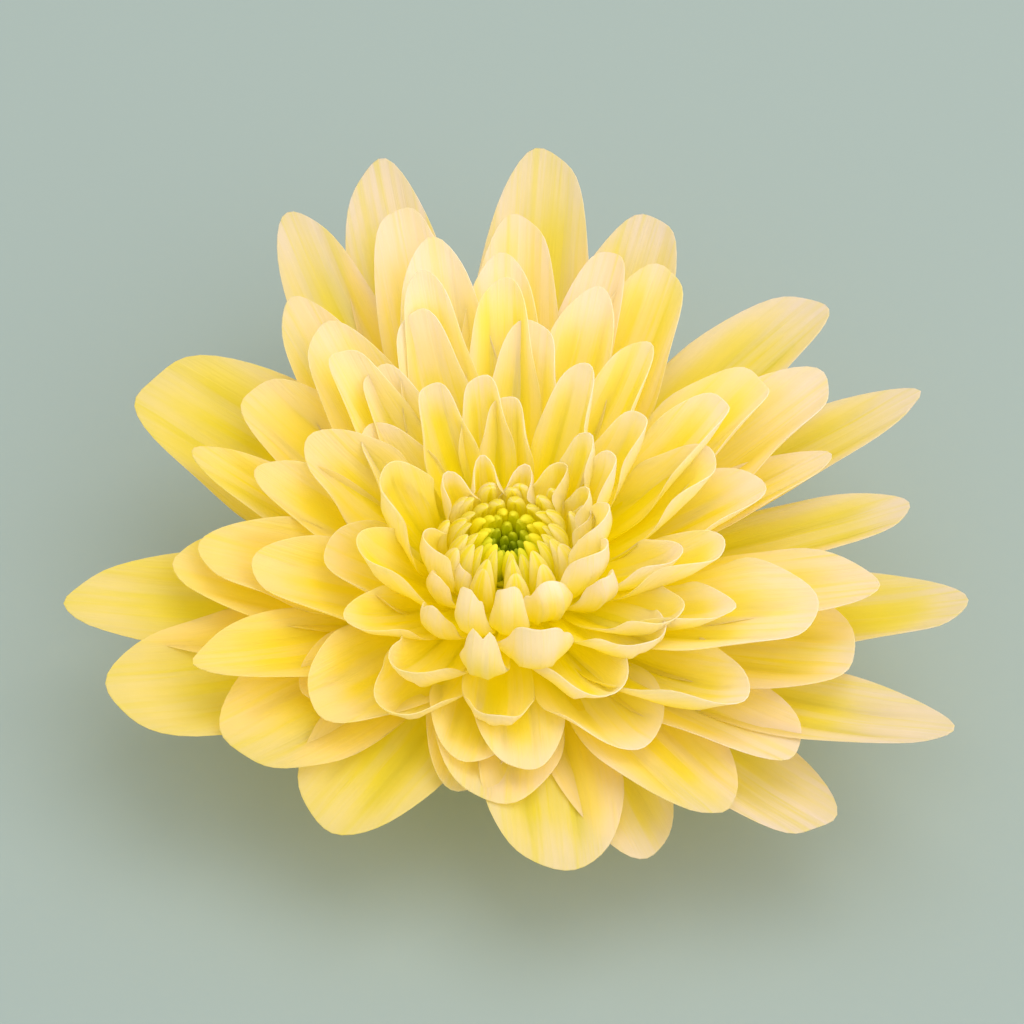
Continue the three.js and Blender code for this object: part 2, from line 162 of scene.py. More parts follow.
# The layers of ray florets, from the outermost inwards. A floret is (azimuth, length, width, own):
# length runs straight from root to tip in mm, and width is across its widest place in mm. The
# layer's values hold unless the floret has its own. In degrees: rise is the climb from root to
# tip, start_tilt and end_tilt are what the root and the tip climb beyond that, turn bows the blade
# sideways and roll twists its tip. Cup is how far the edges curl up, in radians. A low taper makes
# a blunt tip, pull is how tightly a curled tip is bent, and crease deepens the fold along the
# middle. A notch is (place across, depth as a share of the length).
LAYERS = [
    dict(
        root_radius=6.2, root_height=9.7, rise=17, start_tilt=-3, end_tilt=4, cup=0.6, tint=1.0,
        florets=[
            (4, 30, 8, {}),
            (21, 34.5, 8.5, dict(start_tilt=-6, end_tilt=8, turn=4, taper=0.7)),
            (41, 32.5, 10.5, dict(turn=8, taper=0.35)),
            (69, 33, 10.5, dict(turn=-3)),
            (85, 37.5, 11, {}),
            (107, 37.5, 10, dict(turn=6)),
            (120, 35, 8.5, dict(turn=6, taper=0.4)),
            (154, 31, 14.5, dict(turn=-5, taper=0.4)),
            (190, 33.5, 10.5, dict(rise=14, turn=4, taper=0.7)),
            (206, 31.5, 13, dict(rise=13, start_tilt=-8, end_tilt=8, cup=0.45, turn=4, taper=0.4)),
            (222, 25, 12.5, dict(root_height=10.4, rise=12, start_tilt=0, cup=0.4, taper=0.35)),
            (239, 24, 12, dict(rise=6, start_tilt=0, end_tilt=-6, cup=0.35, turn=3, taper=0.35)),
            (
                278, 24.5, 12.5,
                dict(root_height=9.9, rise=6, start_tilt=2, end_tilt=-4, cup=0.35, turn=4, taper=0.3),
            ),
            (293, 24.5, 10, dict(rise=2, start_tilt=2, end_tilt=0, cup=0.35, taper=0.6)),
            (304, 27, 11, dict(root_height=10.5, rise=11, start_tilt=0, cup=0.35, turn=-2, taper=0.75)),
            (315, 31, 10.5, dict(rise=5, start_tilt=1, cup=0.35, turn=-3, taper=0.35)),
            (329, 37.5, 9, dict(start_tilt=-12, end_tilt=9, cup=0.5, turn=-5)),
            (347, 35, 10, dict(start_tilt=-12, end_tilt=12)),
        ],
    ),
    dict(
        root_radius=5.8, root_height=10.3, rise=24, start_tilt=-2, end_tilt=4, cup=0.8, tint=0.5,
        florets=[
            (13, 25, 6.5, {}),
            (26, 28, 11, dict(taper=0.4)),
            (62, 27.5, 10, dict(turn=-4)),
            (72, 27.5, 7, {}),
            (88, 29.5, 9, {}),
            (107, 31.5, 8.5, dict(turn=5)),
            (130, 27, 8.5, dict(turn=6)),
            (148, 23.5, 10, {}),
            (165, 24.5, 6, dict(turn=6)),
            (187, 25, 10, dict(rise=21, turn=10, taper=0.7)),
            (188, 23, 9.5, dict(rise=26)),
            (210, 26.5, 8, dict(start_tilt=-8, end_tilt=8, taper=0.7)),
            (220, 18, 8, dict(rise=17, cup=0.5, taper=0.7)),
            (259, 17.5, 9, dict(rise=8)),
            (267, 19.5, 11.5, dict(rise=11, start_tilt=-2, end_tilt=4, cup=0.4)),
            (318, 27, 10, dict(root_height=10.2, rise=13, start_tilt=-8, end_tilt=6, cup=0.6, taper=0.4)),
            (336, 27.5, 12.5, dict(root_height=10, rise=17, start_tilt=-8, end_tilt=6, cup=0.5, roll=10)),
            (345, 28.5, 10, dict(cup=0.6)),
        ],
    ),
    dict(
        root_radius=5.4, root_height=10.9, rise=30, start_tilt=-3, end_tilt=6, cup=1.0, tint=0.15,
        florets=[
            (8, 19.5, 9, dict(taper=0.4)),
            (30, 24, 10, dict(taper=0.4)),
            (71, 23, 8.5, dict(turn=-3)),
            (91, 25, 9, {}),
            (104, 27, 9.5, dict(turn=5)),
            (131, 23.5, 9.5, dict(turn=5)),
            (156, 17, 9.5, dict(root_height=11.2, rise=37)),
            (167, 19.5, 7.5, dict(turn=4)),
            (191, 13.5, 9.5, dict(root_height=11.3, rise=38, turn=5)),
            (194, 19.5, 9.5, dict(turn=8)),
            (228, 19.5, 11, dict(rise=18, cup=0.8)),
            (260, 17, 9, dict(rise=15, start_tilt=-1, end_tilt=14, cup=0.6)),
            (273, 18, 8, dict(root_height=11.4, rise=14, cup=0.4)),
            (298, 19, 11, dict(rise=16, start_tilt=-6, end_tilt=18, cup=0.8, taper=0.6)),
            (316, 24, 10.5, dict(root_height=10.7, rise=24, start_tilt=-14, end_tilt=20, cup=1.3, turn=-6)),
            (333, 26.5, 12, dict(rise=28, start_tilt=-8, end_tilt=6, cup=0.8, roll=8)),
        ],
    ),
    dict(
        root_radius=5.0, root_height=11.5, rise=38, start_tilt=-8, end_tilt=14, cup=1.25,
        taper=0.42, tint=0.0,
        florets=[
            (15, 17.5, 9, {}),
            (26, 21, 8, dict(rise=40)),
            (53, 20, 7, {}),
            (83, 19, 8.5, {}),
            (91, 22.5, 8, {}),
            (109, 24, 7.5, dict(turn=4)),
            (113, 21, 8, dict(turn=4)),
            (129, 18, 7.5, {}),
            (135, 21, 7, {}),
            (141, 14, 7.5, {}),
            (175, 15, 9, dict(rise=67)),
            (204, 15, 8, dict(rise=54)),
            (219, 15.5, 7, dict(taper=0.7)),
            (241, 17.5, 9, dict(root_height=11.9, rise=22, start_tilt=0, end_tilt=40)),
            (266, 15, 7, dict(root_height=12.3, rise=22, start_tilt=2, end_tilt=60, cup=1.0)),
            (295, 15.5, 10, dict(rise=26, start_tilt=-8, end_tilt=30, cup=1.2, roll=-6)),
            (331, 19.5, 7.5, dict(rise=31, start_tilt=-12, end_tilt=20, cup=1.3, taper=0.8)),
            (345, 17.5, 8, {}),
        ],
    ),
    dict(
        root_radius=4.6, root_height=12.1, rise=48, start_tilt=-14, end_tilt=22, cup=1.4,
        taper=0.42, tint=0.0,
        florets=[
            (24, 13, 5.5, dict(rise=65)),
            (36, 15.5, 6.5, {}),
            (41, 13, 5, dict(rise=68)),
            (63, 16.5, 6.5, {}),
            (90, 12.5, 6, {}),
            (100, 14.5, 6, {}),
            (119, 15, 6, {}),
            (170, 13, 6, dict(rise=61)),
            (235, 11, 5, dict(rise=51, start_tilt=-32, end_tilt=64, cup=1.4, notches=[(-0.3, 0.05)])),
            (240, 16.5, 8, dict(rise=32, start_tilt=-12, end_tilt=35, cup=1.4, pull=0.5)),
            (
                261, 15, 5,
                dict(rise=51, start_tilt=-29, end_tilt=82, cup=1.2, pull=0.5, notches=[(0.05, 0.07)]),
            ),
            (280, 14.5, 8, dict(rise=50, start_tilt=-20, end_tilt=58, pull=0.5)),
            (315, 15, 8.5, dict(root_height=12.3, rise=30, start_tilt=0, end_tilt=46, cup=1.2)),
            (326, 12, 6.5, dict(rise=65)),
            (325, 15, 8, dict(rise=31, start_tilt=-4, end_tilt=36, cup=1.2)),
            (343, 14, 6.5, dict(rise=40, start_tilt=-6, end_tilt=24)),
            (348, 12, 7, dict(rise=70)),
        ],
    ),
    dict(
        root_radius=4.3, root_height=12.8, rise=62, start_tilt=-18, end_tilt=28, cup=1.7,
        taper=0.42, tint=0.0,
        florets=[
            (10, 7.5, 5, dict(rise=67)),
            (18, 9, 5, dict(rise=70)),
            (50, 8.5, 4.6, dict(crease=0.25)),
            (76, 7, 4.4, dict(crease=0.3)),
            (107, 8, 4.4, dict(crease=0.3)),
            (135, 8, 4.6, dict(crease=0.25)),
            (200, 9, 6.5, dict(rise=68)),
            (219, 7.5, 4, dict(start_tilt=-35, end_tilt=60)),
            (224, 6, 3.2, dict(rise=78, start_tilt=-24, end_tilt=40)),
            (252, 12.5, 4.2, dict(rise=61, start_tilt=-44, end_tilt=73, cup=1.4, notches=[(0.45, 0.05)])),
            (270, 12, 4, dict(rise=63, start_tilt=-42, end_tilt=70, cup=1.2, taper=0.3)),
            (295, 8.5, 5.5, dict(rise=66, start_tilt=-51, end_tilt=85, cup=1.3, taper=0.4)),
            (322, 10.5, 5, dict(rise=52, start_tilt=-35, end_tilt=58)),
            (341, 7.5, 3.6, dict(rise=69, start_tilt=-20, end_tilt=20)),
        ],
    ),
]

# The young ray florets stand upright round the heart, still folded and bent over it. Depth is a
# share of the width, a low point makes a blunt tip, and ripeness is how far along a petal's
# colours the tip comes.
RINGS = [
    dict(
        count=11, first=14, root_radius=4.5, root_height=12.7, rise=84, start_tilt=-22, end_tilt=34,
        length=6.5, width=2.3, depth=0.6, point=0.5, tint=-0.1, ripeness=0.8,
    ),
    dict(
        count=13, first=0, root_radius=4.1, root_height=13.0, rise=92, start_tilt=-20, end_tilt=40,
        length=6.3, width=2.0, depth=0.65, point=0.6, tint=-0.2, ripeness=0.75,
    ),
    dict(
        count=15, first=10, root_radius=3.7, root_height=13.3, rise=98, start_tilt=-22, end_tilt=45,
        length=5.8, width=1.6, depth=0.65, point=0.65, tint=-0.45, ripeness=0.7,
    ),
]
RING_SWING = dict(azimuth=6, length=0.4, width=0.2, rise=4)

# A folded floret: how deep and wide its slit is, as shares of its half depth and half width, the
# share of its width at the foot, where along it it is widest and narrows, how roundly, and its grid
FOLD_SLIT = 0.5
FOLD_WIDTH = 0.25
FINGER_FOOT = 0.72
FINGER_WIDEST = 0.55
FINGER_NARROWS = 0.5
FINGER_ROUNDING = 1.8
FINGER_GRID = (26, 20)

# Heart: unopened florets in a golden-angle spiral that bend over its sunken middle
HEART_BOTTOM = 14.3
DOME_RADIUS = 3.0
DOME_SHOULDER_RADIUS = 2.6
DOME_SHOULDER = 0.5
DOME_HEIGHT = 0.7
DOME_SIDES = 24
GOLDEN_ANGLE = 137.5
HEART_RADIUS = 2.9

# Buds of the heart, in mm and degrees. Rise, tilts, length and width change from the middle of the
# heart to its rim.
BUD_COUNT = 44
BUD_ROOT_HEIGHT = 14.5
BUD_LENGTH_MIDDLE = 1.3
BUD_LENGTH_RIM = 4.4
BUD_LENGTHENING = 1.3
BUD_LENGTH_SWING = 0.15
BUD_WIDTH_MIDDLE = 0.7
BUD_WIDTH_RIM = 1.2
BUD_WIDTH_SWING = 0.08
BUD_RISE = 92
BUD_LEAN = 10
BUD_RISE_SWING = 4
BUD_START_TILT = -12
BUD_END_TILT = 62
BUD_DEPTH = 0.85
BUD_POINT = 0.5
BUD_GRID = (14, 12)

# Petal colours along a petal
PETAL_BASE = (0.995, 0.86, 0.0)
PETAL_GOLD = (0.995, 0.86, 0.01)
PETAL_YELLOW = (0.99, 0.865, 0.10)
PETAL_TIP = (0.99, 0.865, 0.76)
PETAL_STOPS = [(0.0, PETAL_BASE), (0.4, PETAL_GOLD), (0.72, PETAL_YELLOW), (1.0, PETAL_TIP)]

# Petal colours: the cream of rims and undersides, which also paints highlights on rims and ridges;
# the painted shade of the florets at the left and in front; olive painted shade in streaks on outer
# florets; the colour of young florets; and of the light that shines through
PETAL_CREAM_AND_HIGHLIGHT = (0.99, 0.89, 0.96)
PETAL_LEFT_FRONT_SHADE = (0.92, 0.74, 0.01)
PETAL_OLIVE_SHADE = (0.86, 0.71, 0.14)
PETAL_LIME = (0.84, 0.78, 0.01)
PETAL_GLOW = (0.99, 0.86, 0.03)

# Painted shade darkens the outer florets: this share of the colour is left where their value is 1
PETAL_OUTER_SHADE = (0.95, 0.895, 0.92)

# Grain of a petal: veins and finer fibres drawn out along it, and a cloudiness per metre. The
# drift sets each petal's grain apart.
SEED_DRIFT = 60.0
PETAL_VEINS = dict(across_scale=5.0, along_scale=0.9, scale=1.6, detail=4.0, roughness=0.6)
PETAL_FIBRES = dict(across_scale=26.0, along_scale=2.0, scale=1.0, detail=2.0)
PETAL_CLOUDS = 90.0

# How far clouds and seeds move the colours along a petal
CLOUD_WANDER = 0.35
SEED_WANDER = 0.16

# Share of each colour at its strongest, and the ranges along or of the grain where it sets in
# A rim's cream is its paler margin and also a painted highlight along the curled rims
RIM_CREAM_AND_HIGHLIGHT = 0.75
RIM_CREAM_AND_HIGHLIGHT_RANGE = (0.25, 0.8)
UNDER_CREAM = 0.6
UNDER_CREAM_RANGE = (0.5, 1.0)
# The ridge stripes are a painted highlight: cream bands along the petal where raised ridges would catch the
# light
RIDGE_HIGHLIGHT = 0.3
RIDGE_WAVE = 9.0
RIDGE_BEND = 5.0
RIDGE_RANGE = (-0.3, 1.0)
RIDGE_ALONG = (0.2, 0.7)
STREAK_GOLD = 0.28
STREAK_RANGE = (0.52, 0.72)
# The olive is painted shade, laid in streaks along the veins of outer florets and kept off their rims
OLIVE_SHADE_SHARE = 0.4
OLIVE_SHADE_RANGE = (0.35, 0.7)
OLIVE_SHADE_OFF_RIM = 0.8
FIBRE_SHARE = 0.14
FIBRE_RANGE = (0.5, 0.8)
LIME_RANGE = (1.15, 0.2)

# Painted shade: a deeper gold sets in from right to left, in metres, with half as much from back
# to front
LEFT_FRONT_SHADE_SHARE = 0.5
LEFT_FRONT_SHADE_RANGE = (0.005, -0.03)
SHADE_FRONT_WEIGHT = 0.5

# Petal surface: bump as (strength, metres), the light let through and its share of glow
VEIN_BUMP = 0.7
FIBRE_BUMP = 0.3
PETAL_BUMP = (0.35, 0.0004)
PETAL_ROUGHNESS = 0.42
FIBRE_ROUGHNESS = 0.16
PETAL_THROUGH = 0.62
GLOW_SHARE = 0.4
PETAL_SPECULAR = 0.12

# Heart colours, from the middle outwards, with the paler tips
HEART_DARK = (0.08, 0.11, 0.0)
HEART_GREEN = (0.38, 0.45, 0.0)
HEART_LIME = (0.72, 0.70, 0.0)
HEART_YELLOW = (0.92, 0.76, 0.0)
HEART_TIP = (0.95, 0.84, 0.12)
HEART_STOPS = [(0.0, HEART_DARK), (0.35, HEART_GREEN), (0.7, HEART_LIME), (1.0, HEART_YELLOW)]

# Heart surface
HEART_CLOUDS = 700.0
HEART_SEED_WANDER = 0.25
HEART_CLOUD_WANDER = 0.2
HEART_PALE = 0.45
HEART_PALE_RANGE = (0.6, 1.0)
# Painted shade: the buds darken towards their bases, where they crowd together
HEART_SHADE = 0.6
HEART_SHADE_RANGE = (0.1, 0.6)
HEART_BUMP = (0.3, 0.0001)
HEART_ROUGHNESS = 0.5
HEART_THROUGH = 0.4
HEART_GLOW_SHARE = 0.3
HEART_SPECULAR = 0.12

# Stalk and bract colours
STALK_GREEN = (0.20, 0.27, 0.06)
STALK_PALE = (0.40, 0.47, 0.17)
STALK_DARK = (0.10, 0.15, 0.035)
PITH_COLOUR = (0.72, 0.74, 0.50)
BRACT_MARGIN = (0.46, 0.36, 0.18)

# Stalk surface: fibres and clouds per metre, and the cut and its pith in metres
STALK_FIBRES = 3200.0
STALK_FIBRE_STRETCH = 0.12
STALK_FIBRE_RANGE = (0.3, 0.75)
STALK_CLOUDS = 380.0
STALK_CLOUD_DETAIL = 4.0
STALK_DARK_SHARE = 0.5
STALK_DARK_RANGE = (0.4, 0.8)
CUT_RANGE = (0.00008, 0.0002)
CUT_PALE = 0.5
PITH_RANGE = (0.0016, 0.0022)
STALK_BUMP = (0.4, 0.0002)
GREEN_ROUGHNESS = 0.45
GREEN_ROUGHENING = 0.25

# Bract surface
BRACT_VEINS = dict(across_scale=9.0, along_scale=0.8, scale=1.5)
BRACT_VEIN_RANGE = (0.35, 0.7)
BRACT_CLOUDS = 500.0
BRACT_DARK_SHARE = 0.4
BRACT_DARK_RANGE = (0.45, 0.8)
BRACT_SIDE_MARGIN = (0.72, 0.96)
BRACT_TIP_MARGIN = (0.86, 0.98)
BRACT_BUMP = (0.5, 0.0002)
BRACT_THROUGH = 0.15

# The shine of what has no shine of its own
USUAL_SPECULAR = 0.4

# Floor, in metres
FLOOR_REACH = 3.0
FLOOR_COLOUR = (0.272, 0.314, 0.296)
FLOOR_CLOUD_COLOUR = (0.5, 0.55, 0.52)
FLOOR_CLOUDS = 6.0
FLOOR_CLOUD_DETAIL = 2.0
FLOOR_CLOUD_SHARE = 0.04
FLOOR_BUMP = (0.02, 0.001)
FLOOR_ROUGHNESS = 0.9

# Lights as (name, place, size, power, colour), in metres and watts, facing the middle of the bloom
LIGHTS = [
    ("soft_top", (0.15, 0.1, 0.8), 0.6, 2.9, (1.0, 0.985, 0.96)),
    ("soft_side", (0.5, -0.3, 0.5), 0.7, 2.0, (1.0, 0.98, 0.95)),
]
LIGHT_TARGET = (0, 0, 0.015)
SURROUND_COLOUR = (0.86, 0.92, 0.9, 1)
SURROUND_STRENGTH = 1.24

# Light passes many times between the pale petals before it leaves the bloom. After this many times
# the surround lights what it meets, as if the light had found its way out, unless something stands
# within the distance, in metres. Light is never followed for more bounces than the last number.
FILL_AFTER = 2
FILL_DISTANCE = 0.0002
LIGHT_BOUNCES = 6


def direction(climb, azimuth):
    """A unit vector that climbs by so many degrees and points to an azimuth."""
    c, a = math.radians(climb), math.radians(azimuth)
    return np.array([math.cos(c) * math.cos(a), math.cos(c) * math.sin(a), math.sin(c)])


def unit(vectors):
    """The vectors at length 1."""
    return vectors / np.linalg.norm(vectors, axis=-1, keepdims=True)


def smooth_step(x, low, high):
    """0 below low, 1 above high, and a smooth climb between."""
    share = np.clip((x - low) / (high - low), 0, 1)
    return share * share * (3 - 2 * share)


class Shape:
    """Closed bodies gathered into one mesh, with the values per point that its material reads."""

    def __init__(self):
        self.points = []
        self.faces = []
        self.values = []
        self.count = 0

    def add(self, points, faces, along, across, under, seed, tint=0.0):
        """Adds one closed body: points in mm, faces of four corners, and its values."""
        columns = np.broadcast_arrays(along, across, under, seed, tint)
        self.points.append(points)
        self.faces.append(faces + self.count)
        self.values.append(np.stack(columns, 1))
        self.count += len(points)

    def made(self, name, material, slot, *replaced):
        """Makes the gathered mesh a piece that rides with the bloom and stands for CAD nodes."""
        points = np.concatenate(self.points) * MM
        # A corner that a face has twice is dropped, which leaves a triangle
        corners = np.concatenate(self.faces).tolist()
        faces = [[p for n, p in enumerate(face) if p not in face[:n]] for face in corners]
        mesh = bpy.data.meshes.new(name)
        mesh.from_pydata(points.tolist(), [], faces)
        mesh.shade_smooth()
        values = np.concatenate(self.values).astype(np.float32)
        for n, key in enumerate(POINT_VALUES):
            column = np.ascontiguousarray(values[:, n])
            mesh.attributes.new(key, "FLOAT", "POINT").data.foreach_set("value", column)
        mesh.materials.append(material)
        piece = bpy.data.objects.new(name, mesh)
        bpy.context.scene.collection.objects.link(piece)
        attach(piece, "root")
        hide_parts(*replaced)


def sheet_faces(rows, columns):
    """The faces of a closed sheet: upper side, lower side, and the rim that joins them."""
    index = np.arange(rows * columns).reshape(rows, columns)
    a, b = index[:-1, :-1].ravel(), index[1:, :-1].ravel()
    c, d = index[1:, 1:].ravel(), index[:-1, 1:].ravel()
    low = rows * columns
    parts = [np.stack([a, b, c, d], 1), np.stack([a, d, c, b], 1) + low]
    edges = ((index[:, 0], True), (index[-1], True), (index[:, -1], False), (index[0], False))
    for edge, flip in edges:
        here, there = edge[:-1], edge[1:]
        if flip:
            here, there = there, here
        parts.append(np.stack([here, there, there + low, here + low], 1))
    return np.concatenate(parts)


def tube_faces(rows, sides):
    """The faces of rings of points, closed by one point at each end that come after the rings."""
    index = np.arange(rows * sides).reshape(rows, sides)
    after = np.roll(index, -1, axis=1)
    low, high = np.full(sides, rows * sides), np.full(sides, rows * sides + 1)
    return np.concatenate([
        np.stack([index[:-1], after[:-1], after[1:], index[1:]], -1).reshape(-1, 4),
        np.stack([index[0], low, after[0], after[0]], 1),
        np.stack([index[-1], after[-1], high, high], 1),
    ])


def middle_line(form, along):
    """The middle line of a floret at shares along it: its places, and sideways and up there."""
    root = direction(0, form["azimuth"]) * form["root_radius"]
    root = root + np.array([0, 0, form["root_height"]])
    tip = root + direction(form["rise"], form["azimuth"]) * form["length"]
    start_azimuth = form["azimuth"] + form["turn"]
    end_azimuth = form["azimuth"] - form["turn"]
    pull = form["length"] * form["pull"]
    first = root + direction(form["rise"] + form["start_tilt"], start_azimuth) * pull
    second = tip - direction(form["rise"] + form["end_tilt"], end_azimuth) * pull
    q = along[..., None]
    p = 1 - q
    middle = p ** 3 * root + 3 * q * p ** 2 * first + 3 * q * q * p * second + q ** 3 * tip
    course = unit(p ** 2 * (first - root) + 2 * q * p * (second - first) + q * q * (tip - second))
    heading = np.radians(start_azimuth + (end_azimuth - start_azimuth) * along)
    side = np.stack([-np.sin(heading), np.cos(heading), np.zeros_like(along)], -1)
    side = unit(side - (side * course).sum(-1, keepdims=True) * course)
    return middle, side, np.cross(course, side)


def blade(shape, form, rng, rows, columns):
    """Adds a strap-shaped blade with cupped edges, lengthwise grooves, waved rims and a round tip.

    Along runs from 0 at the root to 1 at the tip, and across from -1 to 1 between the rims.
    """
    across = np.sin(np.linspace(-np.pi / 2, np.pi / 2, columns))
    rounded = np.sqrt(np.clip(1 - np.abs(across) ** (1 / form["taper"]), 0, 1))
    end = WIDEST_AT + (1 - WIDEST_AT) * rounded
    ragged = rng.uniform(0, 2 * np.pi)
    end = end + TIP_UNEVENNESS * (1 - across * across) * np.sin(TIP_RIPPLES * across + ragged)
    for place, depth in form["notches"]:
        end = end - depth * np.exp(-((across - place) / NOTCH_WIDTH) ** 2)
    row = 1 - (1 - np.linspace(0, 1, rows)) ** TIP_CROWDING
    along = row[:, None] * end[None, :]
    across = np.broadcast_to(across, along.shape)

    middle, side, up = middle_line(form, along)
    roll = np.radians(LAP + form["roll"] * along)[..., None]
    side, up = side * np.cos(roll) + up * np.sin(roll), up * np.cos(roll) - side * np.sin(roll)

    widened = np.sin(np.pi / 2 * np.minimum(along / WIDEST_AT, 1)) ** WIDENING
    half_width = form["width"] / 2 * (NECK_SHARE + (1 - NECK_SHARE) * widened)
    cup = form["cup"] * (1 + form["hood"] * smooth_step(along, *HOOD_RANGE))
    cup = cup * (ROOT_CUP + (1 - ROOT_CUP) * smooth_step(along, *ROOT_CUP_RANGE))
    bow = half_width / cup
    angle = cup * across
    lift = bow * (1 - np.cos(angle)) + form["relief"](form, along, across, rng) * form["width"]
    surface = middle + side * (bow * np.sin(angle))[..., None] + up * lift[..., None]
    outward = up * np.cos(angle)[..., None] - side * np.sin(angle)[..., None]
    thin = 1 - (1 - RIM_SHARE) * np.abs(across) ** RIM_THINNING
    thin = thin * (1 - (1 - RIM_SHARE) * np.broadcast_to(row[:, None], along.shape) ** TIP_THINNING)
    half = outward * (form["thickness"] * thin / 2)[..., None]

    points = np.concatenate([(surface + half).reshape(-1, 3), (surface - half).reshape(-1, 3)])
    under = np.repeat([0.0, 1.0], along.size)
    shape.add(
        points, sheet_faces(rows, columns), np.tile(along.ravel(), 2), np.tile(across.ravel(), 2),
        under, rng.random(), form["tint"],
    )


def finger(shape, form, rng, rows, columns):
    """Adds a folded young floret: a closed finger, flatter than wide, slit along its inner side."""
    along = 1 - (1 - np.linspace(0, 1, rows)) ** TIP_CROWDING
    middle, side, up = middle_line(form, along)
    angles = np.linspace(0, 2 * np.pi, columns, endpoint=False)
    x, y = np.cos(angles), np.sin(angles)
    slit = FOLD_SLIT * np.exp(-(x / FOLD_WIDTH) ** 2) * (y > 0)
    y = y * (1 - slit)
    swell = FINGER_FOOT + (1 - FINGER_FOOT) * smooth_step(along, 0, FINGER_WIDEST)
    past = np.clip((along - FINGER_NARROWS) / (1 - FINGER_NARROWS), 0, 1)
    narrow = np.clip(1 - past ** FINGER_ROUNDING, 0, 1) ** form["point"]
    half_width = form["width"] / 2 * swell * narrow
    ring = side[:, None] * x[None, :, None] + up[:, None] * (form["depth"] * y)[None, :, None]
    ring = middle[:, None] + ring * half_width[:, None, None]
    body = ring[:-1].reshape(-1, 3)
    points = np.concatenate([body, middle[:1], middle[-1:]])
    ripe = np.concatenate([np.repeat(along[:-1], columns), [0, 1]]) * form["ripeness"]
    reach = form.get("reach", x) + 0 * x
    across = np.concatenate([np.tile(reach, rows - 1), [form.get("reach", 0)] * 2])
    faces = tube_faces(rows - 1, columns)
    shape.add(points, faces, ripe, across, 0.0, rng.random(), form["tint"])


def petal_relief(form, along, across, rng):
    """Height of a petal's relief over its width: a crease, grooves and waved rims."""
    groove_place = rng.uniform(*GROOVE_PLACE)
    groove_depth = rng.uniform(*GROOVE_DEPTH)
    middle_depth = rng.uniform(*MIDDLE_DEPTH)
    wave_height = rng.uniform(*WAVE_HEIGHT)
    wave_count = rng.uniform(*WAVE_COUNT)
    wave_start = rng.uniform(0, 2 * np.pi)
    body = smooth_step(along, *GROOVES_START) * (1 - smooth_step(along, *GROOVES_END))
    grooves = np.exp(-((np.abs(across) - groove_place) / GROOVE_WIDTH) ** 2) * groove_depth
    grooves = grooves + np.exp(-(across / MIDDLE_WIDTH) ** 2) * middle_depth
    phase = 2 * np.pi * wave_count * along + wave_start + WAVE_SHIFT * np.sign(across)
    waves = np.sin(phase) * np.abs(across) ** WAVE_RIM_POWER
    crease = form["crease"] * np.sqrt(across * across + CREASE_ROUNDING)
    return waves * wave_height * smooth_step(along, *WAVES_START) - grooves * body + crease


def bract_relief(form, along, across, rng):
    """Height of a bract's relief over its width: one rib along the middle, under the bract."""
    return -BRACT_RIB_HEIGHT * np.exp(-(across / BRACT_RIB_WIDTH) ** 2) * (1 - along)


def with_usual(**own):
    """A floret's or bract's usual values, with its own on top."""
    usual = dict(
        turn=0, roll=0, taper=TAPER, pull=PULL, hood=HOOD, crease=0, notches=(),
        thickness=FLORET_THICKNESS, relief=petal_relief, tint=0, ripeness=1,
    )
    return {**usual, **own}


def floret_layer(number, layer, material):
    """One layer of ray florets as one piece."""
    rng = np.random.default_rng(LAYER_DRAWS + number)
    shape = Shape()
    for azimuth, length, width, own in layer["florets"]:
        rise = layer["rise"] + FAR_SIDE_RISE * math.sin(math.radians(azimuth))
        placed = {"rise": rise, "azimuth": azimuth, "length": length, "width": width}
        values = {**layer, **placed, **own}
        grid = SMALL_GRID if width < SMALL_WIDTH else LARGE_GRID
        blade(shape, with_usual(**values), rng, *grid)
    shape.made(f"ray_florets_layer_{number}", material, "ray_floret", "ray_florets")


def floret_rings(material):
    """The rings of folded young florets round the heart."""
    rng = np.random.default_rng(RING_DRAWS)
    for number, ring in enumerate(RINGS, 1):
        shape = Shape()
        for i in range(ring["count"]):
            values = {**ring, "azimuth": ring["first"] + 360 * i / ring["count"]}
            for key, swing in RING_SWING.items():
                values[key] += rng.uniform(-swing, swing)
            finger(shape, with_usual(**values), rng, *FINGER_GRID)
        shape.made(f"ray_florets_ring_{number}", material, "ray_floret", "ray_florets")


def turned(shape, profile, sides, ripple=0.0, ripples=0, tip_value=1.0):
    """Adds a solid of revolution whose open profile starts and ends on the axis."""
    profile = np.array(profile, float)
    angles = np.linspace(0, 2 * np.pi, sides, endpoint=False)
    r, z = profile[1:-1, 0][:, None], profile[1:-1, 1][:, None]
    radius = r * (1 + ripple * np.cos(ripples * angles))
    ring = np.stack([radius * np.cos(angles), radius * np.sin(angles), z + 0 * radius], -1)
    rows = len(r)
    points = np.concatenate([ring.reshape(-1, 3), [[0, 0, profile[0, 1]], [0, 0, profile[-1, 1]]]])
    along = np.concatenate([np.repeat(np.linspace(0, tip_value, rows), sides), [0, tip_value]])
    reach = np.concatenate([np.repeat(r[:, 0], sides), [0, 0]]) / profile[:, 0].max()
    shape.add(points, tube_faces(rows, sides), along, reach, 0.0, PLAIN_SEED)


def floret_core(material):
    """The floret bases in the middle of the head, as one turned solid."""
    shape = Shape()
    profile = [(0, CORE_BOTTOM), *CORE_SIDE, (0, CORE_TOP)]
    turned(shape, profile, CORE_SIDES, CORE_RIPPLE, CORE_RIPPLES, CORE_TONE)
    shape.made("ray_floret_bases", material, "ray_floret", "ray_florets")


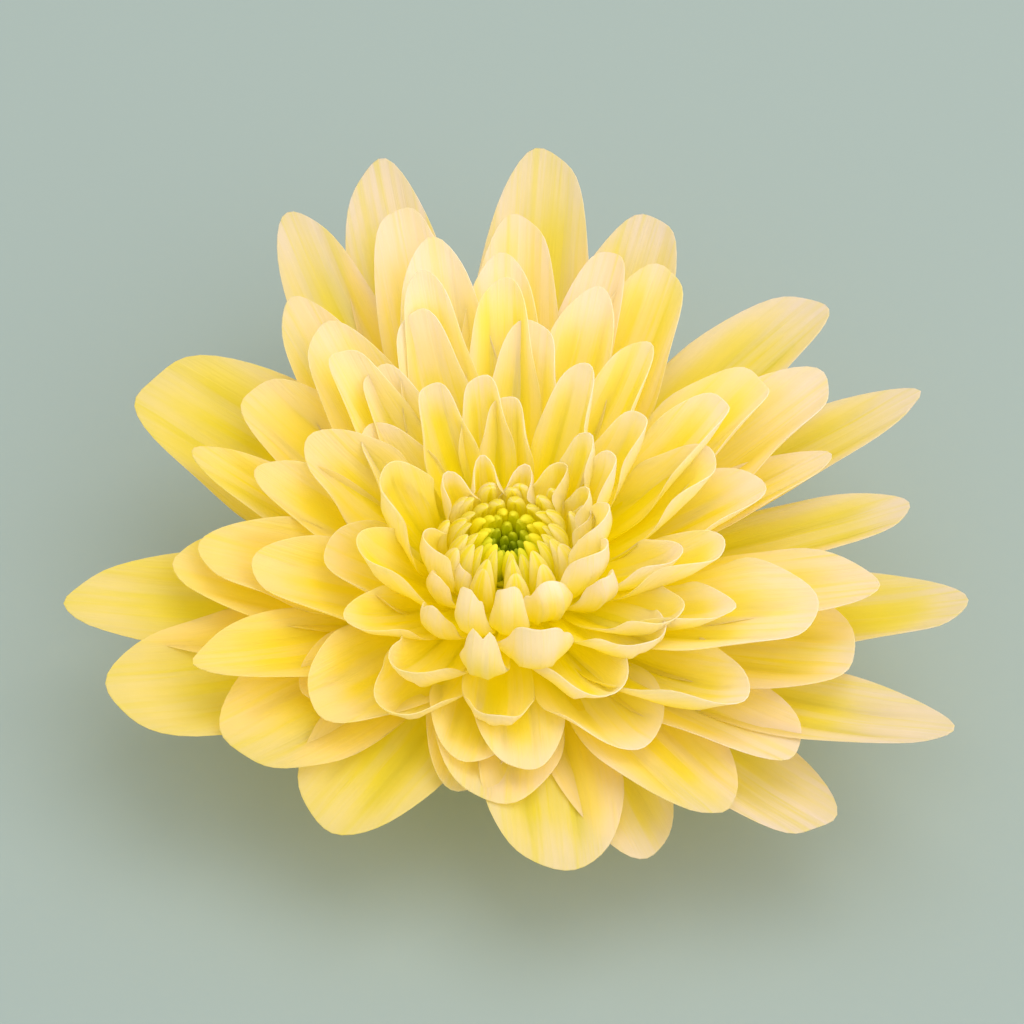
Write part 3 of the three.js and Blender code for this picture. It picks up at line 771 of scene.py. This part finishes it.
def heart(material):
    """The unopened florets of the heart, in a golden-angle spiral that dips in the middle."""
    rng = np.random.default_rng(HEART_DRAWS)
    shape = Shape()
    profile = [
        (0, HEART_BOTTOM),
        (DOME_RADIUS, HEART_BOTTOM),
        (DOME_SHOULDER_RADIUS, HEART_BOTTOM + DOME_SHOULDER),
        (0, HEART_BOTTOM + DOME_HEIGHT),
    ]
    turned(shape, profile, DOME_SIDES)
    for i in range(BUD_COUNT):
        reach = math.sqrt((i + 0.5) / BUD_COUNT)
        length = BUD_LENGTH_MIDDLE + (BUD_LENGTH_RIM - BUD_LENGTH_MIDDLE) * reach ** BUD_LENGTHENING
        width = BUD_WIDTH_MIDDLE + (BUD_WIDTH_RIM - BUD_WIDTH_MIDDLE) * reach
        values = with_usual(
            azimuth=GOLDEN_ANGLE * i, root_radius=HEART_RADIUS * reach, root_height=BUD_ROOT_HEIGHT,
            rise=BUD_RISE + BUD_LEAN * reach + rng.uniform(-BUD_RISE_SWING, BUD_RISE_SWING),
            start_tilt=BUD_START_TILT * reach, end_tilt=BUD_END_TILT * reach,
            length=length + rng.uniform(-BUD_LENGTH_SWING, BUD_LENGTH_SWING),
            width=width * rng.uniform(1 - BUD_WIDTH_SWING, 1 + BUD_WIDTH_SWING),
            depth=BUD_DEPTH, point=BUD_POINT, reach=reach,
        )
        finger(shape, values, rng, *BUD_GRID)
    shape.made("heart_buds", material, "heart_floret", "heart_florets")


def receptacle_radius(z):
    """Radius of the receptacle's flaring side at a height."""
    flare = float(smooth_step(z, FLARE_START, RECEPTACLE_TOP))
    return STALK_RADIUS + (RECEPTACLE_RADIUS - STALK_RADIUS) * flare


def stalk_end(material):
    """The ribbed stalk end, cut flat with a slightly sunken pith, and the receptacle on it."""
    shape = Shape()
    profile = [(0, PITH_DEPTH), (PITH_RADIUS, PITH_DEPTH), *CUT_EDGE]
    profile += [(receptacle_radius(z), z) for z in np.linspace(FLARE_FOOT, RECEPTACLE_TOP, FLARE_ROWS)]
    turned(shape, [*profile, (0, RECEPTACLE_TOP)], STALK_SIDES, RIB_SHARE, STALK_RIBS)
    shape.made("stalk_end", material, "green_stalk", "stalk_and_involucre")


def involucre(material):
    """The overlapping bracts on the flare."""
    rng = np.random.default_rng(BRACT_DRAWS)
    shape = Shape()
    for ring in BRACT_RINGS:
        for i in range(ring["count"]):
            swing = rng.uniform(-BRACT_SWING, BRACT_SWING)
            values = {
                **ring,
                "azimuth": ring["first"] + 360 * i / ring["count"] + swing,
                "root_radius": receptacle_radius(ring["root_height"]) - BRACT_ROOT_DEPTH,
                "rise": BRACT_RISE, "start_tilt": BRACT_BEND, "end_tilt": -BRACT_BEND,
                "cup": BRACT_CUP, "taper": BRACT_TAPER, "thickness": BRACT_THICKNESS,
                "relief": bract_relief,
            }
            blade(shape, with_usual(**values), rng, *SMALL_GRID)
    shape.made("bracts", material, "green_stalk", "stalk_and_involucre")


class Nodes:
    """A material's node tree with short ways to add what it needs."""

    def __init__(self, name):
        self.material = bpy.data.materials.new(name)
        self.material.use_nodes = True
        self.tree = self.material.node_tree
        self.tree.nodes.clear()

    def node(self, kind, **sockets):
        """A node with values or links for its sockets; a name like Scale or _0 for a number."""
        node = self.tree.nodes.new(kind)
        for key, value in sockets.items():
            socket = int(key[1:]) if key.startswith("_") else key.replace("_", " ")
            self.put(node.inputs[socket], value)
        return node

    def put(self, socket, value):
        """Links an output, or sets a plain value."""
        if isinstance(value, bpy.types.NodeSocket):
            self.tree.links.new(value, socket)
        else:
            socket.default_value = value

    def value(self, name):
        """A float that the mesh carries per point."""
        node = self.tree.nodes.new("ShaderNodeAttribute")
        node.attribute_name = name
        return node.outputs["Fac"]

    def place(self):
        """The place on the part, in metres."""
        return self.node("ShaderNodeTexCoord").outputs["Object"]

    def math(self, operation, a, b=0.0, clamp=False):
        """One arithmetic step."""
        node = self.node("ShaderNodeMath", _0=a, _1=b)
        node.operation = operation
        node.use_clamp = clamp
        return node.outputs[0]

    def times(self, a, b):
        """Two numbers multiplied."""
        return self.math("MULTIPLY", a, b)

    def plus(self, a, b, clamp=False):
        """Two numbers added."""
        return self.math("ADD", a, b, clamp)

    def rest(self, share):
        """What a share leaves of 1."""
        return self.math("SUBTRACT", 1.0, share)

    def swing(self, value, width):
        """A value between 0 and 1 made to swing round 0 by so much in all."""
        return self.times(self.math("SUBTRACT", value, 0.5), width)

    def noise(self, vector, scale, detail=3.0, roughness=0.5):
        """Noise between 0 and 1."""
        node = self.node(
            "ShaderNodeTexNoise", Vector=vector, Scale=scale, Detail=detail, Roughness=roughness,
        )
        return node.outputs["Fac"]

    def grain(self, across_scale, along_scale, scale, detail=3.0, roughness=0.5):
        """Noise drawn out along a blade, and another for each blade."""
        across = self.times(self.value("across"), across_scale)
        along = self.times(self.value("along"), along_scale)
        drift = self.times(self.value("seed"), SEED_DRIFT)
        return self.noise(self.vector(across, along, drift), scale, detail, roughness)

    def vector(self, x, y, z):
        """Three numbers as one vector."""
        return self.node("ShaderNodeCombineXYZ", _0=x, _1=y, _2=z).outputs[0]

    def ramp(self, factor, stops):
        """A smooth colour ramp through (place, colour) stops."""
        node = self.node("ShaderNodeValToRGB", Fac=factor)
        node.color_ramp.interpolation = "EASE"
        elements = node.color_ramp.elements
        while len(elements) < len(stops):
            elements.new(0.5)
        for element, (place, colour) in zip(elements, stops):
            element.position = place
            element.color = (*colour, 1)
        return node.outputs["Color"]

    def mixed(self, factor, a, b, blend="MIX"):
        """Two colours mixed, or the second multiplied into the first."""
        node = self.tree.nodes.new("ShaderNodeMix")
        node.data_type = "RGBA"
        node.blend_type = blend
        self.put(node.inputs["Factor"], factor)
        for key, value in (("A", a), ("B", b)):
            socket = next(i for i in node.inputs if i.name == key and i.type == "RGBA")
            self.put(socket, value if isinstance(value, bpy.types.NodeSocket) else (*value, 1))
        return next(o for o in node.outputs if o.type == "RGBA")

    def spread(self, factor, low, high):
        """A factor stretched so that low is 0 and high is 1, smoothly."""
        node = self.node("ShaderNodeMapRange", Value=factor)
        node.interpolation_type = "SMOOTHSTEP"
        self.put(node.inputs["From Min"], low)
        self.put(node.inputs["From Max"], high)
        return node.outputs["Result"]

    def bump(self, height, strength, distance):
        """A bumped normal; distance in metres."""
        node = self.node("ShaderNodeBump", Height=height, Strength=strength, Distance=distance)
        return node.outputs[0]

    def done(self, colour, roughness, normal, through=0.0, glow_colour=None, specular=USUAL_SPECULAR):
        """The surface: a principled shader, with some light let through."""
        surface = self.node(
            "ShaderNodeBsdfPrincipled", Base_Color=colour, Roughness=roughness, Normal=normal,
        )
        surface.inputs["Specular IOR Level"].default_value = specular
        shader = surface.outputs[0]
        if through:
            glow = self.node("ShaderNodeBsdfTranslucent", Color=glow_colour, Normal=normal)
            shader = self.node("ShaderNodeMixShader", _0=through, _1=shader, _2=glow.outputs[0])
            shader = shader.outputs[0]
        out = self.tree.nodes.new("ShaderNodeOutputMaterial")
        self.tree.links.new(shader, out.inputs["Surface"])
        return self.material


def petal_material():
    """Yellow petal: deep at the base, golden, then cream at the rims, with fine lengthwise veins."""
    # Rims and ridges carry painted highlights; outer florets and those at the left and in front carry
    # painted shade
    nodes = Nodes("chrysanthemum_petal")
    along, across = nodes.value("along"), nodes.value("across")
    seed, tint, under = nodes.value("seed"), nodes.value("tint"), nodes.value("under")
    # The positive part of the floret's value paints shade on outer florets; the negative part is how young
    # it is
    outer = nodes.math("MAXIMUM", tint, 0.0)
    young = nodes.math("MAXIMUM", nodes.times(tint, -1.0), 0.0)
    off_middle = nodes.math("ABSOLUTE", across)
    place = nodes.place()
    veins = nodes.grain(**PETAL_VEINS)
    fibres = nodes.grain(**PETAL_FIBRES)
    cloud = nodes.noise(place, PETAL_CLOUDS)

    tone = nodes.plus(along, nodes.swing(cloud, CLOUD_WANDER))
    tone = nodes.plus(tone, nodes.swing(seed, SEED_WANDER), clamp=True)
    colour = nodes.ramp(tone, PETAL_STOPS)

    edge = nodes.math("POWER", off_middle, 2.0)
    # Paler rims, whose cream also paints a highlight along the curled edges
    rim = nodes.times(edge, nodes.spread(along, *RIM_CREAM_AND_HIGHLIGHT_RANGE))
    colour = nodes.mixed(nodes.times(rim, RIM_CREAM_AND_HIGHLIGHT), colour, PETAL_CREAM_AND_HIGHLIGHT)
    below = nodes.times(nodes.times(under, UNDER_CREAM), nodes.spread(along, *UNDER_CREAM_RANGE))
    colour = nodes.mixed(below, colour, PETAL_CREAM_AND_HIGHLIGHT)

    # Painted highlight in lengthwise cream stripes, as if light caught ridges along the petal
    phase = nodes.plus(nodes.times(off_middle, RIDGE_WAVE), nodes.times(veins, RIDGE_BEND))
    phase = nodes.plus(phase, nodes.times(seed, SEED_DRIFT))
    ridge_highlight = nodes.spread(nodes.math("COSINE", phase), *RIDGE_RANGE)
    ridge_highlight = nodes.times(ridge_highlight, nodes.spread(along, *RIDGE_ALONG))
    colour = nodes.mixed(nodes.times(ridge_highlight, RIDGE_HIGHLIGHT), colour, PETAL_CREAM_AND_HIGHLIGHT)

    # Painted shade darkens the outer florets
    colour = nodes.mixed(outer, colour, PETAL_OUTER_SHADE, "MULTIPLY")
    streak = nodes.times(nodes.spread(veins, *STREAK_RANGE), STREAK_GOLD)
    colour = nodes.mixed(streak, colour, PETAL_GOLD)
    # Painted shade in olive streaks on the outer florets, less towards their rims
    olive_shade = nodes.times(nodes.spread(veins, *OLIVE_SHADE_RANGE), outer)
    olive_shade = nodes.times(olive_shade, nodes.rest(nodes.times(edge, OLIVE_SHADE_OFF_RIM)))
    colour = nodes.mixed(nodes.times(olive_shade, OLIVE_SHADE_SHARE), colour, PETAL_OLIVE_SHADE)
    fine = nodes.times(nodes.spread(fibres, *FIBRE_RANGE), FIBRE_SHARE)
    colour = nodes.mixed(fine, colour, PETAL_BASE)

    # Painted shade: the florets at the left and in front turn a deeper gold
    split = nodes.node("ShaderNodeSeparateXYZ", Vector=place)
    side = nodes.plus(split.outputs[0], nodes.times(split.outputs[1], SHADE_FRONT_WEIGHT))
    deep = nodes.times(nodes.spread(side, *LEFT_FRONT_SHADE_RANGE), LEFT_FRONT_SHADE_SHARE)
    colour = nodes.mixed(deep, colour, PETAL_LEFT_FRONT_SHADE)
    colour = nodes.mixed(nodes.times(young, nodes.spread(along, *LIME_RANGE)), colour, PETAL_LIME)

    height = nodes.plus(nodes.times(veins, VEIN_BUMP), nodes.times(fibres, FIBRE_BUMP))
    normal = nodes.bump(height, *PETAL_BUMP)
    roughness = nodes.plus(nodes.times(fibres, FIBRE_ROUGHNESS), PETAL_ROUGHNESS)
    through = nodes.mixed(GLOW_SHARE, colour, PETAL_GLOW)
    return nodes.done(colour, roughness, normal, PETAL_THROUGH, through, PETAL_SPECULAR)


def heart_material():
    """Heart florets: dark green in the middle, lime, then yellow-green outside, paler at the tips."""
    nodes = Nodes("chrysanthemum_heart")
    along, reach, seed = nodes.value("along"), nodes.value("across"), nodes.value("seed")
    cloud = nodes.noise(nodes.place(), HEART_CLOUDS)
    tone = nodes.plus(reach, nodes.swing(seed, HEART_SEED_WANDER))
    tone = nodes.plus(tone, nodes.swing(cloud, HEART_CLOUD_WANDER), clamp=True)
    colour = nodes.ramp(tone, HEART_STOPS)
    pale = nodes.times(nodes.spread(along, *HEART_PALE_RANGE), nodes.times(reach, HEART_PALE))
    colour = nodes.mixed(pale, colour, HEART_TIP)
    # Painted shade at the foot of each bud
    shade = nodes.rest(nodes.spread(along, *HEART_SHADE_RANGE))
    colour = nodes.mixed(nodes.times(shade, HEART_SHADE), colour, HEART_DARK)
    normal = nodes.bump(cloud, *HEART_BUMP)
    through = nodes.mixed(HEART_GLOW_SHARE, colour, HEART_LIME)
    return nodes.done(colour, HEART_ROUGHNESS, normal, HEART_THROUGH, through, HEART_SPECULAR)


def stalk_material():
    """Green stalk: lengthwise fibres, paler on the cut, with a whitish pith in its middle."""
    nodes = Nodes("chrysanthemum_stalk")
    place = nodes.place()
    split = nodes.node("ShaderNodeSeparateXYZ", Vector=place)
    x, y, z = split.outputs[0], split.outputs[1], split.outputs[2]
    fibres = nodes.noise(nodes.vector(x, y, nodes.times(z, STALK_FIBRE_STRETCH)), STALK_FIBRES)
    cloud = nodes.noise(place, STALK_CLOUDS, STALK_CLOUD_DETAIL)
    colour = nodes.mixed(nodes.spread(fibres, *STALK_FIBRE_RANGE), STALK_GREEN, STALK_PALE)
    dark = nodes.times(nodes.spread(cloud, *STALK_DARK_RANGE), STALK_DARK_SHARE)
    colour = nodes.mixed(dark, colour, STALK_DARK)
    radius = nodes.math("POWER", nodes.plus(nodes.times(x, x), nodes.times(y, y)), 0.5)
    cut = nodes.rest(nodes.spread(z, *CUT_RANGE))
    pith = nodes.times(cut, nodes.rest(nodes.spread(radius, *PITH_RANGE)))
    colour = nodes.mixed(nodes.times(cut, CUT_PALE), colour, STALK_PALE)
    colour = nodes.mixed(pith, colour, PITH_COLOUR)
    normal = nodes.bump(fibres, *STALK_BUMP)
    roughness = nodes.plus(nodes.times(cloud, GREEN_ROUGHENING), GREEN_ROUGHNESS)
    return nodes.done(colour, roughness, normal)


def bract_material():
    """Green bract: veined, with a thin papery straw-brown margin."""
    nodes = Nodes("chrysanthemum_bract")
    along, across = nodes.value("along"), nodes.value("across")
    veins = nodes.grain(**BRACT_VEINS)
    cloud = nodes.noise(nodes.place(), BRACT_CLOUDS)
    colour = nodes.mixed(nodes.spread(veins, *BRACT_VEIN_RANGE), STALK_GREEN, STALK_PALE)
    dark = nodes.times(nodes.spread(cloud, *BRACT_DARK_RANGE), BRACT_DARK_SHARE)
    colour = nodes.mixed(dark, colour, STALK_DARK)
    side_margin = nodes.spread(nodes.math("ABSOLUTE", across), *BRACT_SIDE_MARGIN)
    margin = nodes.math("MAXIMUM", side_margin, nodes.spread(along, *BRACT_TIP_MARGIN))
    colour = nodes.mixed(margin, colour, BRACT_MARGIN)
    normal = nodes.bump(veins, *BRACT_BUMP)
    roughness = nodes.plus(nodes.times(margin, GREEN_ROUGHENING), GREEN_ROUGHNESS)
    return nodes.done(colour, roughness, normal, BRACT_THROUGH, colour)


def floor_material():
    """A plain pale matt surface, with the faintest unevenness."""
    nodes = Nodes("pale_floor")
    cloud = nodes.noise(nodes.place(), FLOOR_CLOUDS, FLOOR_CLOUD_DETAIL)
    colour = nodes.mixed(nodes.times(cloud, FLOOR_CLOUD_SHARE), FLOOR_COLOUR, FLOOR_CLOUD_COLOUR)
    return nodes.done(colour, FLOOR_ROUGHNESS, nodes.bump(cloud, *FLOOR_BUMP), specular=0.0)


def floor():
    """The surface that the bloom stands on."""
    mesh = bpy.data.meshes.new("floor")
    reach = FLOOR_REACH
    corners = [(-reach, -reach, 0), (reach, -reach, 0), (reach, reach, 0), (-reach, reach, 0)]
    mesh.from_pydata(corners, [], [(0, 1, 2, 3)])
    mesh.materials.append(floor_material())
    plane = bpy.data.objects.new("floor", mesh)
    bpy.context.scene.collection.objects.link(plane)


def camera():
    """The camera at the photograph's viewing angle."""
    rise = math.radians(CAMERA_RISE)
    forward = Vector((0, math.cos(rise), -math.sin(rise)))
    up = Vector((0, math.sin(rise), math.cos(rise)))
    right = Vector((1, 0, 0))
    data = bpy.data.cameras.new("camera")
    data.lens = CAMERA_LENS
    data.sensor_width = CAMERA_SENSOR
    data.clip_start, data.clip_end = CAMERA_CLIP
    eye = bpy.data.objects.new("camera", data)
    bpy.context.scene.collection.objects.link(eye)
    place = (Vector(CAMERA_AIM) - forward * CAMERA_DISTANCE) * MM
    turn = Matrix((right, up, -forward)).transposed().to_4x4()
    eye.matrix_world = Matrix.Translation(place) @ turn
    bpy.context.scene.camera = eye


def area_light(name, place, size, power, colour):
    """A square soft light that faces the bloom."""
    data = bpy.data.lights.new(name, "AREA")
    data.shape = "SQUARE"
    data.size = size
    data.energy = power
    data.color = colour
    light = bpy.data.objects.new(name, data)
    bpy.context.scene.collection.objects.link(light)
    light.location = place
    light.rotation_euler = (Vector(LIGHT_TARGET) - Vector(place)).to_track_quat("-Z", "Y").to_euler()


def lighting():
    """Plain soft studio light: one light above, one at the right in front, and a pale surround."""
    for light in LIGHTS:
        area_light(*light)
    world = bpy.data.worlds.new("studio")
    world.use_nodes = True
    background = world.node_tree.nodes["Background"]
    background.inputs["Color"].default_value = SURROUND_COLOUR
    background.inputs["Strength"].default_value = SURROUND_STRENGTH
    scene = bpy.context.scene
    scene.world = world
    scene.view_settings.view_transform = "Standard"
    scene.cycles.use_fast_gi = True
    scene.cycles.fast_gi_method = "REPLACE"
    scene.cycles.ao_bounces_render = FILL_AFTER
    world.light_settings.distance = FILL_DISTANCE
    world.light_settings.ao_factor = 1
    scene.cycles.diffuse_bounces = LIGHT_BOUNCES
    scene.cycles.max_bounces = LIGHT_BOUNCES


camera()
petal = petal_material()
for layer_number, floret_values in enumerate(LAYERS, 1):
    floret_layer(layer_number, floret_values, petal)
floret_rings(petal)
floret_core(petal)
heart(heart_material())
stalk_end(stalk_material())
involucre(bract_material())
floor()
lighting()
